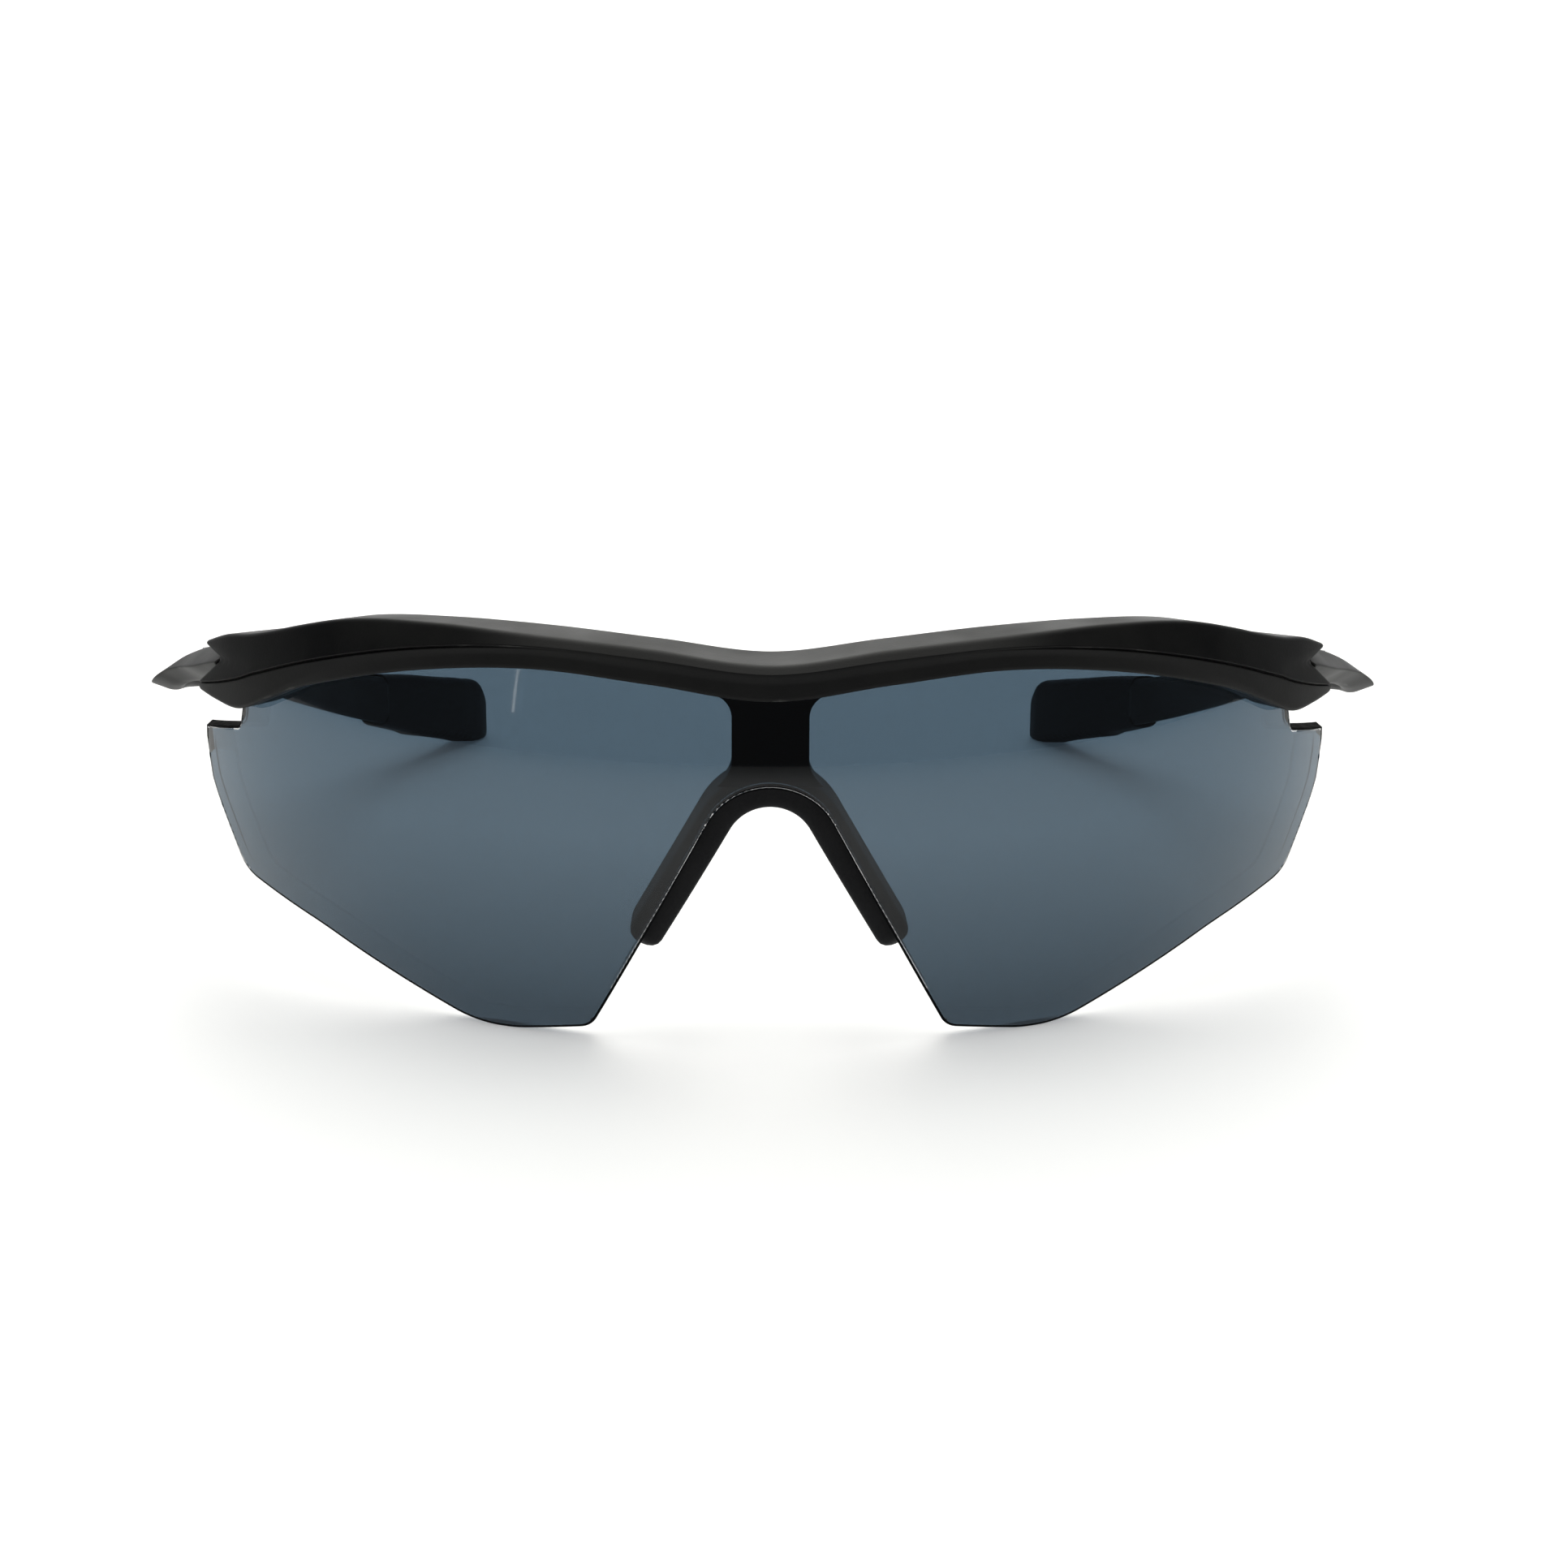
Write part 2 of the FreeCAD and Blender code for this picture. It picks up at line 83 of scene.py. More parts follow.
def roundLoop(corners, radius, arcSteps=6, sideSteps=8):
    # Closed loops with soft corners: round each corner a quadratic curve from one side to the next,
    # between corners evenly spaced points on the straight side.
    radius = np.broadcast_to(np.asarray(radius, float), corners.shape[1:2])[None, :, None]
    toBefore = np.roll(corners, 1, axis=1) - corners
    toAfter = np.roll(corners, -1, axis=1) - corners
    before = np.linalg.norm(toBefore, axis=2, keepdims=True)
    after = np.linalg.norm(toAfter, axis=2, keepdims=True)
    reach = np.minimum(radius, 0.45 * np.minimum(before, after))
    start = corners + toBefore / before * reach
    end = corners + toAfter / after * reach
    t = np.linspace(0, 1, arcSteps)[None, None, :, None]
    arc = (1 - t) ** 2 * start[:, :, None] + 2 * t * (1 - t) * corners[:, :, None] + t * t * end[:, :, None]
    t = (np.arange(1, sideSteps + 1) / (sideSteps + 1))[None, None, :, None]
    side = end[:, :, None] * (1 - t) + np.roll(start, -1, axis=1)[:, :, None] * t
    return np.concatenate([arc, side], axis=2).reshape(len(corners), -1, 2)


def smoothStep(x, low, high):
    # 3 t squared less 2 t cubed between low and high.
    t = np.clip((x - low) / (high - low), 0, 1)
    return t * t * (3 - 2 * t)


def meshObject(name, points, faces):
    # Points in millimetres become a mesh in the frame. The signed volume under the quads, split in two
    # triangles each, tells which way they face; a negative one turns them all over.
    points = (np.asarray(points, float) + (0, shiftY, 0)) * 0.001
    quads = np.asarray(faces)
    a, b, c, d = (points[quads[:, k]] for k in range(4))
    volume = np.einsum("ij,ij->", a, np.cross(b, c)) + np.einsum("ij,ij->", a, np.cross(c, d))
    if volume < 0:
        quads = quads[:, ::-1]
    cleaned = [q[:3] if q[2] == q[3] else q for q in quads.tolist()]
    cleaned = [q[1:] if q[0] == q[1] else q for q in cleaned]
    mesh = bpy.data.meshes.new(name)
    mesh.from_pydata(points.tolist(), [], cleaned)
    mesh.polygons.foreach_set("use_smooth", np.ones(len(mesh.polygons), bool))
    mesh.validate()
    piece = bpy.data.objects.new(name, mesh)
    bpy.context.scene.collection.objects.link(piece)
    return piece


def tube(name, rings):
    # A closed skin over a stack of rings: quads between neighbours and a fan from each end ring to its
    # middle.
    count, around = rings.shape[:2]
    points = np.vstack([rings.reshape(-1, 3), rings[:1].mean(1), rings[-1:].mean(1)])
    row = np.arange(count - 1)[:, None] * around
    j = np.arange(around)[None, :]
    k = (j + 1) % around
    skin = np.stack([row + j, row + k, row + around + k, row + around + j], -1).reshape(-1, 4)
    j, k = j[0], k[0]
    first, last, tail = count * around, count * around + 1, (count - 1) * around
    startFan = np.stack([k, j, np.full(around, first), np.full(around, first)], -1)
    endFan = np.stack([tail + j, tail + k, np.full(around, last), np.full(around, last)], -1)
    return meshObject(name, points, np.vstack([skin, startFan, endFan]))


def place(piece, body, node, slot, material):
    # Gives a piece its finish and the body it moves with, and hides the packed node it stands for. The slot
    # is not used.
    piece.data.materials.append(material)
    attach(piece, body)
    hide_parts(node)
    return piece


def sphereRho(offset, z):
    # Distance from the sphere's upright axis to the surface that stands offset from the lens, at height z.
    return np.sqrt((sphere["radius"] + offset) ** 2 - (z - sphere["centreZ"]) ** 2)


def nodeMaterial(name):
    # A material with its shader and the object's own coordinates, so that patterns stay on the piece.
    material = bpy.data.materials.new(name)
    material.use_nodes = True
    tree = material.node_tree
    shader = tree.nodes["Principled BSDF"]
    coords = tree.nodes.new("ShaderNodeTexCoord")
    return material, tree, shader, coords.outputs["Object"]


def noise(tree, coords, scale, detail=2.0, roughness=0.5, stretch=None):
    texture = tree.nodes.new("ShaderNodeTexNoise")
    texture.inputs["Scale"].default_value = scale
    texture.inputs["Detail"].default_value = detail
    texture.inputs["Roughness"].default_value = roughness
    if stretch:
        mapping = tree.nodes.new("ShaderNodeMapping")
        mapping.inputs["Scale"].default_value = stretch
        tree.links.new(coords, mapping.inputs["Vector"])
        coords = mapping.outputs["Vector"]
    tree.links.new(coords, texture.inputs["Vector"])
    return texture.outputs["Fac"]


def remap(tree, value, low, high, fromLow=0.3, fromHigh=0.7):
    # Straight line from fromLow..fromHigh, where noise mostly lies, to low..high.
    node = tree.nodes.new("ShaderNodeMapRange")
    node.inputs["From Min"].default_value = fromLow
    node.inputs["From Max"].default_value = fromHigh
    node.inputs["To Min"].default_value = low
    node.inputs["To Max"].default_value = high
    tree.links.new(value, node.inputs["Value"])
    return node.outputs["Result"]


def colourMix(tree, value, dark, light):
    node = tree.nodes.new("ShaderNodeMix")
    node.data_type = "RGBA"
    node.inputs["A"].default_value = (*dark, 1)
    node.inputs["B"].default_value = (*light, 1)
    tree.links.new(value, node.inputs["Factor"])
    return node.outputs["Result"]


def bump(tree, height, strength, distance):
    node = tree.nodes.new("ShaderNodeBump")
    node.inputs["Strength"].default_value = strength
    node.inputs["Distance"].default_value = distance
    tree.links.new(height, node.inputs["Height"])
    return node.outputs["Normal"]


# Finishes: colours are linear, grain is a noise scale over metres.
framePlastic = {"dark": (0.004, 0.0041, 0.0045), "light": (0.010, 0.0102, 0.010), "rough": (0.40, 0.56),
                "gloss": 0.11, "grain": 3800.0, "broad": 90.0, "pit": 0.00003, "pitShare": 0.35,
                "worn": (0.05, 0.051, 0.048), "wornFrom": 0.53, "wornTo": 0.62}
rubberLook = {"dark": (0.004, 0.0042, 0.0055), "light": (0.007, 0.0072, 0.0085), "rough": (0.50, 0.66),
              "gloss": 0.17, "grain": 5200.0, "broad": 140.0, "pit": 0.00002, "pitShare": 0.2}
# The low tint, blended in from highZ down to lowZ, is painted shade: the lens is darker towards its bottom.
lensLook = {"through": (0.245, 0.305, 0.355), "low": (0.175, 0.22, 0.258), "lowZ": 0.003, "highZ": 0.023,
            "headOn": 0.036, "power": 4.0, "rough": (0.015, 0.045), "smear": 60.0,
            "wallHeadOn": 0.005, "wallGlancing": 0.06}
edgeLook = {"dark": (0.0015, 0.0018, 0.002), "light": (0.003, 0.0035, 0.004), "saw": 900.0,
            "rough": (0.55, 0.7), "gloss": 0.03}
metalLook = {"dark": (0.18, 0.18, 0.1875), "light": (0.24, 0.24, 0.25), "brush": 1500.0,
             "rough": (0.22, 0.42), "pit": 0.00002, "pitShare": 0.15}
nylonLook = {"dark": (0.52, 0.51, 0.47), "light": (0.66, 0.65, 0.60), "cloud": 700.0, "rough": 0.45}


def wornEdges(tree, body, breakUp, look):
    # Edges that stick out are rubbed a little lighter, broken up by the grain.
    shape = tree.nodes.new("ShaderNodeNewGeometry")
    rubbed = remap(tree, shape.outputs["Pointiness"], 0, 1, look["wornFrom"], look["wornTo"])
    both = tree.nodes.new("ShaderNodeMath")
    both.operation = "MULTIPLY"
    tree.links.new(rubbed, both.inputs[0])
    tree.links.new(breakUp, both.inputs[1])
    node = tree.nodes.new("ShaderNodeMix")
    node.data_type = "RGBA"
    node.inputs["B"].default_value = (*look["worn"], 1)
    tree.links.new(body, node.inputs["A"])
    tree.links.new(both.outputs[0], node.inputs["Factor"])
    return node.outputs["Result"]


def mouldedPlastic():
    # Mould grain: fine pits, broad changes of colour and gloss, edges rubbed lighter.
    look = framePlastic
    material, tree, shader, coords = nodeMaterial("mouldedPlastic")
    grain = noise(tree, coords, look["grain"], 2.0)
    broad = noise(tree, coords, look["broad"], 3.0)
    body = colourMix(tree, remap(tree, broad, 0, 1), look["dark"], look["light"])
    tree.links.new(wornEdges(tree, body, grain, look), shader.inputs["Base Color"])
    tree.links.new(remap(tree, broad, *look["rough"]), shader.inputs["Roughness"])
    tree.links.new(bump(tree, grain, look["pitShare"], look["pit"]), shader.inputs["Normal"])
    shader.inputs["Specular IOR Level"].default_value = look["gloss"]
    return material


def softRubber():
    # Satin rubber: its gloss breaks up with the fine grain.
    look = rubberLook
    material, tree, shader, coords = nodeMaterial("softRubber")
    grain = noise(tree, coords, look["grain"], 1.5)
    broad = noise(tree, coords, look["broad"], 2.0)
    body = colourMix(tree, remap(tree, broad, 0, 1), look["dark"], look["light"])
    tree.links.new(body, shader.inputs["Base Color"])
    tree.links.new(remap(tree, grain, *look["rough"]), shader.inputs["Roughness"])
    tree.links.new(bump(tree, grain, look["pitShare"], look["pit"]), shader.inputs["Normal"])
    shader.inputs["Specular IOR Level"].default_value = look["gloss"]
    return material


def smokeLens(name, headOn, glancing):
    # Tinted polycarbonate: what is behind shows through each surface by its tint, darkened low down as
    # painted shade, and the polish mirrors little head on and more as the surface turns away.
    material, tree, shader, coords = nodeMaterial(name)
    tree.nodes.remove(shader)
    output = tree.nodes["Material Output"]
    parts = tree.nodes.new("ShaderNodeSeparateXYZ")
    tree.links.new(coords, parts.inputs[0])
    # Painted shade: the tint turns to the darker low colour towards the bottom of the lens.
    height = remap(tree, parts.outputs["Z"], 0, 1, lensLook["lowZ"], lensLook["highZ"])
    through = tree.nodes.new("ShaderNodeBsdfTransparent")
    tree.links.new(colourMix(tree, height, lensLook["low"], lensLook["through"]), through.inputs["Color"])
    polish = tree.nodes.new("ShaderNodeBsdfGlossy")
    smear = noise(tree, coords, lensLook["smear"], 3.0)
    tree.links.new(remap(tree, smear, *lensLook["rough"]), polish.inputs["Roughness"])
    facing = tree.nodes.new("ShaderNodeLayerWeight")
    facing.inputs["Blend"].default_value = 0.5
    power = tree.nodes.new("ShaderNodeMath")
    power.operation = "POWER"
    power.inputs[1].default_value = lensLook["power"]
    tree.links.new(facing.outputs["Facing"], power.inputs[0])
    share = remap(tree, power.outputs[0], headOn, glancing, 0.0, 1.0)
    mix = tree.nodes.new("ShaderNodeMixShader")
    tree.links.new(share, mix.inputs[0])
    tree.links.new(through.outputs[0], mix.inputs[1])
    tree.links.new(polish.outputs[0], mix.inputs[2])
    tree.links.new(mix.outputs[0], output.inputs["Surface"])
    return material


def lensEdge():
    # The cut edge: nearly black, with saw lines in its gloss.
    look = edgeLook
    material, tree, shader, coords = nodeMaterial("lensEdge")
    lines = noise(tree, coords, look["saw"], 2.0, stretch=(1, 1, 0.2))
    tree.links.new(colourMix(tree, lines, look["dark"], look["light"]), shader.inputs["Base Color"])
    tree.links.new(remap(tree, lines, *look["rough"]), shader.inputs["Roughness"])
    shader.inputs["Specular IOR Level"].default_value = look["gloss"]
    return material


def satinMetal():
    # Dark plated metal, brushed upright.
    look = metalLook
    material, tree, shader, coords = nodeMaterial("satinMetal")
    brushed = noise(tree, coords, look["brush"], 3.0, stretch=(1, 1, 0.08))
    shader.inputs["Metallic"].default_value = 1.0
    tree.links.new(colourMix(tree, brushed, look["dark"], look["light"]), shader.inputs["Base Color"])
    tree.links.new(remap(tree, brushed, *look["rough"]), shader.inputs["Roughness"])
    tree.links.new(bump(tree, brushed, look["pitShare"], look["pit"]), shader.inputs["Normal"])
    return material


def nylon():
    # Milky washers with a faint cloudiness.
    look = nylonLook
    material, tree, shader, coords = nodeMaterial("nylon")
    cloud = noise(tree, coords, look["cloud"])
    tree.links.new(colourMix(tree, cloud, look["dark"], look["light"]), shader.inputs["Base Color"])
    shader.inputs["Roughness"].default_value = look["rough"]
    return material


plastic, rubber, lensLine = mouldedPlastic(), softRubber(), lensEdge()
lensGlass = smokeLens("smokeLens", lensLook["headOn"], 1.0)
lensWall = smokeLens("smokeLensWall", lensLook["wallHeadOn"], lensLook["wallGlancing"])
metal, washerNylon = satinMetal(), nylon()
print("materials ready")

# x, z and corner radius of one half of the lens's outline
lens = {
    "lower": ((0.0, 37.3, 7.5), (19.15, 1.25, 2.4), (27.5, 0.0, 14.0), (32.0, 0.0, 13.0), (50.0, 8.4, 40.0),
              (60.5, 12.2, 4.0), (64.4, 20.6, 30.0), (66.8, 27.8, 0.9)),
    "upper": ((66.8, 27.8, 0.9), (60.2, 29.5, 0.9), (59.6, 33.6, 0.8), (52.0, 37.0, 6.0), (41.0, 40.4, 20.0),
              (24.0, 42.3, 20.0), (9.0, 41.0, 10.0), (0.0, 39.6, 12.0)),
    "rows": 60,
    "columns": 200,
    "thinnest": 0.45,      # columns shorter than this are left out at the pointed ends
    "edge": 0.3,           # chamfer, across the face
    "edgeDepth": 0.09,     # chamfer, into the thickness
    "ledge": 26.5,         # above this height the wall is dark
    "noseHalf": 19.4,      # and within this x, below noseTop
    "noseTop": 38.0,
}


def cornerArc(corner, before, after, steps):
    # Circle of the corner's radius that touches both sides, from one touching point to the other.
    here = np.array(corner[:2])
    a, b = np.array(before[:2]) - here, np.array(after[:2]) - here
    a, b = a / np.linalg.norm(a), b / np.linalg.norm(b)
    inward = (a + b) / np.linalg.norm(a + b)
    across = (b - a) / np.linalg.norm(b - a)
    half = math.acos(float(a @ inward))
    centre = here + inward * corner[2] / math.sin(half)
    angle = np.linspace(half - math.pi / 2, math.pi / 2 - half, steps)[:, None]
    return centre - inward * corner[2] * np.cos(angle) + across * corner[2] * np.sin(angle)


def outline(corners, first, last, steps=24):
    # The corners' arcs in order; first and last are the neighbours of the end corners.
    chain = [first, *corners, last]
    inner = range(1, len(chain) - 1)
    return np.vstack([cornerArc(chain[i], chain[i - 1], chain[i + 1], steps) for i in inner])


def lensColumns():
    # Lower and upper edge of the lens as heights over one shared row of x places.
    lower, upper = lens["lower"], lens["upper"]
    low = outline(lower, (-lower[1][0], lower[1][1]), upper[1])
    high = outline(upper, lower[-2], (-upper[-2][0], upper[-2][1]))
    low, high = low[low[:, 0] >= 0], high[high[:, 0] >= 0]
    low, high = low[np.argsort(low[:, 0])], high[np.argsort(high[:, 0])]
    places = np.unique(np.concatenate([low[:, 0], high[:, 0], np.linspace(0.3, 66.0, lens["columns"])]))
    places = places[places > 0.15]
    places = places[np.concatenate([[True], np.diff(places) > 0.03])]
    lowZ, highZ = np.interp(places, *low.T), np.interp(places, *high.T)
    keep = highZ - lowZ > lens["thinnest"]
    places, lowZ, highZ = places[keep], lowZ[keep], highZ[keep]
    return (np.concatenate([-places[::-1], places]), np.concatenate([lowZ[::-1], lowZ]),
            np.concatenate([highZ[::-1], highZ]))


def onSphere(points, depth):
    # Points of the outline's plane pushed back on to the sphere that lies depth inside the lens's face.
    x, z = points[..., 0], points[..., 1]
    reach = (sphere["radius"] - depth) ** 2 - x ** 2 - (z - sphere["centreZ"]) ** 2
    return np.stack([x, sphere["radius"] - np.sqrt(reach), z], -1)


def buildLens():
    # Column by column from the lower to the upper edge on the front and the back sphere. Round the edge the
    # two faces stop short by a narrow chamfer and a wall joins them; chamfer and wall have their own look.
    x, low, high = lensColumns()
    rows, columns = lens["rows"], len(x)
    t = np.linspace(0, 1, rows)[:, None]
    flat = np.stack([np.broadcast_to(x, (rows, columns)), low + (high - low) * t], -1)
    i, j = np.arange(rows), np.arange(columns)
    rim = np.concatenate([j, i[1:] * columns + columns - 1, (rows - 1) * columns + j[-2::-1],
                          i[-2:0:-1] * columns])
    edge = flat.reshape(-1, 2)[rim]
    along = np.roll(edge, -1, axis=0) - np.roll(edge, 1, axis=0)
    along /= np.linalg.norm(along, axis=1, keepdims=True)
    inset = edge + np.stack([-along[:, 1], along[:, 0]], -1) * lens["edge"]
    face = flat.reshape(-1, 2).copy()
    face[rim] = inset
    deep, size, count = sphere["thickness"], rows * columns, len(rim)
    points = np.vstack([onSphere(face, 0), onSphere(edge, lens["edgeDepth"]),
                        onSphere(edge, deep - lens["edgeDepth"]), onSphere(face, deep)])
    quad = (i[:-1, None] * columns + j[None, :-1]).ravel()
    front = np.stack([quad, quad + 1, quad + columns + 1, quad + columns], -1)
    k = np.arange(count)
    after = (k + 1) % count
    loops = [rim, size + k, size + count + k, size + 2 * count + rim]
    skirts = [np.stack([a[after], a[k], b[k], b[after]], -1) for a, b in zip(loops[:-1], loops[1:])]
    back = front[:, ::-1] + size + 2 * count
    piece = meshObject("lensShield", points, np.vstack([front, *skirts, back]))
    place(piece, "front", "lens", "smoke_lens", lensGlass)
    piece.data.materials.append(lensWall)
    piece.data.materials.append(lensLine)
    look = np.zeros(len(piece.data.polygons), int)
    start = len(front)
    look[start:start + count] = 2
    noseEdge = (np.abs(edge[:, 0]) < lens["noseHalf"]) & (edge[:, 1] < lens["noseTop"])
    look[start + count:start + 2 * count] = np.where((edge[:, 1] > lens["ledge"]) | noseEdge, 2, 1)
    piece.data.polygons.foreach_set("material_index", look)
    sharp = np.ones(len(piece.data.polygons), bool)
    sharp[start:start + 3 * count] = False
    piece.data.polygons.foreach_set("use_smooth", sharp)
    return piece


buildLens()
print("lens done")

# The first row mirrors the third, so that the brow is level at its middle. Columns:
# azimuth, rear radius, top rear z, top front z, ridge z, lower crease z, lip z, lower rear z
brow = {
    "stations": (
        (-9.0, 73.5, 43.5, 43.1, 42.2, 41.2, 39.5, 42.1),
        (0.0, 73.5, 42.3, 41.7, 40.9, 40.0, 38.0, 40.8),
        (9.0, 73.5, 43.5, 43.1, 42.2, 41.2, 39.5, 42.1),
        (18.0, 73.5, 44.4, 44.0, 43.0, 42.2, 40.5, 43.0),
        (27.0, 73.5, 44.5, 44.5, 42.2, 41.2, 39.6, 42.6),
        (36.0, 73.5, 43.6, 43.8, 40.0, 38.5, 37.2, 41.0),
        (41.0, 73.4, 42.2, 42.4, 38.3, 36.0, 35.3, 39.3),
        (44.0, 73.0, 41.2, 41.4, 37.1, 34.0, 33.7, 37.7),
        (47.5, 72.0, 40.3, 40.4, 35.8, 32.3, 32.0, 35.8),
        (51.0, 71.0, 39.6, 39.7, 34.7, 32.5, 32.2, 34.4),
        (54.0, 70.6, 38.5, 38.5, 33.9, 33.0, 32.7, 33.6),
    ),
    "offsets": (1.6, 2.4, 1.9, 1.6, -2.9),
    "softness": (0.7, 0.5, 0.12, 0.1, 0.12, 0.25, 0.4, 0.4, 0.6),
    "groove": {"from": 14.0, "full": 30.0, "deep": 0.42, "down": 0.16, "under": 0.3, "step": 0.12},
    "columns": 321,
    "notch": {"apex": 50.5, "apexZ": 37.1, "low": 5.3, "high": 1.5, "opens": 5.0, "innerRho": 75.6},
    "squeezeFrom": 45.5,
    "lipRise": 0.3,
    "endGap": 0.12,
    "endScales": (0.975, 0.9, 0.7, 0.4, 0.15),
}


def lugEndAzimuth(rho, z, gap=0.0):
    # The lug ends on a plane, with a notch like an arrow's tail from a point on its outer side.
    notch = brow["notch"]
    above = np.where(z > notch["apexZ"], (z - notch["apexZ"]) / notch["high"],
                     (notch["apexZ"] - z) / notch["low"])
    tail = np.minimum(notch["apex"] + notch["opens"] * above, sphere["lugEnd"])
    share = smoothStep(rho, notch["innerRho"] - 0.3, notch["innerRho"] + 0.3)
    return sphere["lugEnd"] - share * (sphere["lugEnd"] - tail) + gap


def browRings(azimuth, scale=1.0):
    # The brow's section at each azimuth: corners at set distances from the lens's sphere and at heights
    # read off the stations, then rounded. The last degrees are squeezed together so that every line of
    # the skin ends on the lug's notched end.
    heights = hermite(brow["stations"], np.abs(azimuth))
    rear, rearZ, frontZ, ridgeZ, creaseZ, lipZ, lowRearZ = heights.T
    o, groove = brow["offsets"], brow["groove"]
    cut = smoothStep(np.abs(azimuth), groove["from"], groove["full"])
    cutZ, underZ = ridgeZ - groove["down"], ridgeZ - groove["under"]
    lipRearZ = lipZ + brow["lipRise"]
    corners = np.stack([
        np.stack([rear, rearZ], -1),
        np.stack([sphereRho(o[0], frontZ), frontZ], -1),
        np.stack([sphereRho(o[1], ridgeZ), ridgeZ], -1),
        np.stack([sphereRho(o[1] - 0.05 - groove["deep"] * cut, cutZ), cutZ], -1),
        np.stack([sphereRho(o[1] - 0.1 - groove["step"] * cut, underZ), underZ], -1),
        np.stack([sphereRho(o[2], creaseZ), creaseZ], -1),
        np.stack([sphereRho(o[3], lipZ), lipZ], -1),
        np.stack([sphereRho(o[4], lipRearZ), lipRearZ], -1),
        np.stack([rear, lowRearZ], -1)], axis=1)
    loops = roundLoop(corners, brow["softness"])
    centre = corners.mean(1, keepdims=True)
    loops = centre + (loops - centre) * scale
    rho, z = loops[..., 0], loops[..., 1]
    start = brow["squeezeFrom"]
    along = np.clip((np.abs(azimuth)[:, None] - start) / (sphere["lugEnd"] - start), 0, 1)
    turned = np.minimum(np.abs(azimuth)[:, None], start) + along * (lugEndAzimuth(rho, z) - start)
    turned = np.radians(turned) * np.sign(azimuth)[:, None]
    return np.stack([rho * np.sin(turned), sphere["radius"] - rho * np.cos(turned), z], -1)


def buildBrow():
    end = sphere["lugEnd"]
    # The whole brow from lug to lug, closed at both ends by the same rings drawn ever smaller.
    azimuth = np.linspace(-end + brow["endGap"], end - brow["endGap"], brow["columns"])
    caps = [browRings(np.array([end]), s)[0] for s in brow["endScales"]]
    mirror = np.array([-1.0, 1.0, 1.0])
    rings = np.stack([c * mirror for c in caps[::-1]] + list(browRings(azimuth)) + caps)
    return place(tube("browMoulding", rings), "front", "brow_frame", "frame_plastic", plastic)


buildBrow()
print("brow done")

post = {"halfWidth": 4.05, "topZ": 40.5, "bottomZ": 28.6, "lipZ": 38.1, "topFillet": 2.4, "shoulderZ": 31.4,
        "shoulder": 1.5, "rearY": 6.2, "gap": 0.05, "depth": 3.4, "softness": (0.15, 0.15, 0.9, 0.9),
        "rings": 60}


def lensBackY(x, z, gap=0.0):
    # y of the lens's inner sphere, less a gap, at x and z.
    inner = sphere["radius"] - sphere["thickness"] - gap
    return sphere["radius"] - np.sqrt(inner ** 2 - x ** 2 - (z - sphere["centreZ"]) ** 2)


def buildPost():
    # Rounded rectangles stacked from the pad up into the brow; the width swells in a quarter circle under
    # the brow and spreads into shoulders over the pad.
    z = np.linspace(post["bottomZ"], post["topZ"], post["rings"])
    rise = np.clip((z - post["lipZ"]) / post["topFillet"] + 1, 0, 1)
    fall = np.clip((post["shoulderZ"] - z) / (post["shoulderZ"] - post["bottomZ"]), 0, 1)
    half = post["halfWidth"] + post["topFillet"] * (1 - np.sqrt(1 - rise ** 2 * 0.999))
    half = half + post["shoulder"] * fall ** 2
    front, rear = np.zeros_like(z), np.full_like(z, post["depth"])
    corners = np.stack([np.stack([-half, front], -1), np.stack([half, front], -1),
                        np.stack([half, rear], -1), np.stack([-half, rear], -1)], axis=1)
    loops = roundLoop(corners, post["softness"])
    x, depth = loops[..., 0], loops[..., 1]
    height = np.broadcast_to(z[:, None], x.shape)
    face = lensBackY(x, height, post["gap"])
    y = face + depth / post["depth"] * (post["rearY"] - face)
    piece = tube("nosePost", np.stack([x, y, height], -1))
    return place(piece, "front", "brow_frame", "frame_plastic", plastic)


buildPost()

pad = {"legAngle": 60.0, "archRadius": 6.65, "archTopZ": 28.2, "legEndZ": 12.3, "halfWidth": 1.84,
       "rearY": 11.0, "depth": 8.0, "gap": 0.06, "softness": (0.7, 0.7, 1.5, 1.5), "rings": 150,
       "capAngles": (20, 40, 58, 72, 82, 88)}


def padPath(steps):
    # Middle line of the inverted V: straight leg, circular arch over the nose, straight leg. Gives the
    # points and the directions along and across.
    angle = math.radians(pad["legAngle"])
    centreZ = pad["archTopZ"] - pad["archRadius"]
    joinX, joinZ = pad["archRadius"] * math.sin(angle), centreZ + pad["archRadius"] * math.cos(angle)
    leg = (joinZ - pad["legEndZ"]) / math.sin(angle)
    arch = pad["archRadius"] * angle
    s = np.linspace(-(leg + arch), leg + arch, steps)
    turn = np.clip(s / pad["archRadius"], -angle, angle)
    past = np.sign(s) * np.clip(np.abs(s) - arch, 0, None)
    x = pad["archRadius"] * np.sin(turn) + past * math.cos(angle)
    z = centreZ + pad["archRadius"] * np.cos(turn) - np.abs(past) * math.sin(angle)
    along = np.stack([np.cos(turn), -np.sin(turn)], -1)
    across = np.stack([np.sin(turn), np.cos(turn)], -1)
    return np.stack([x, z], -1), along, across


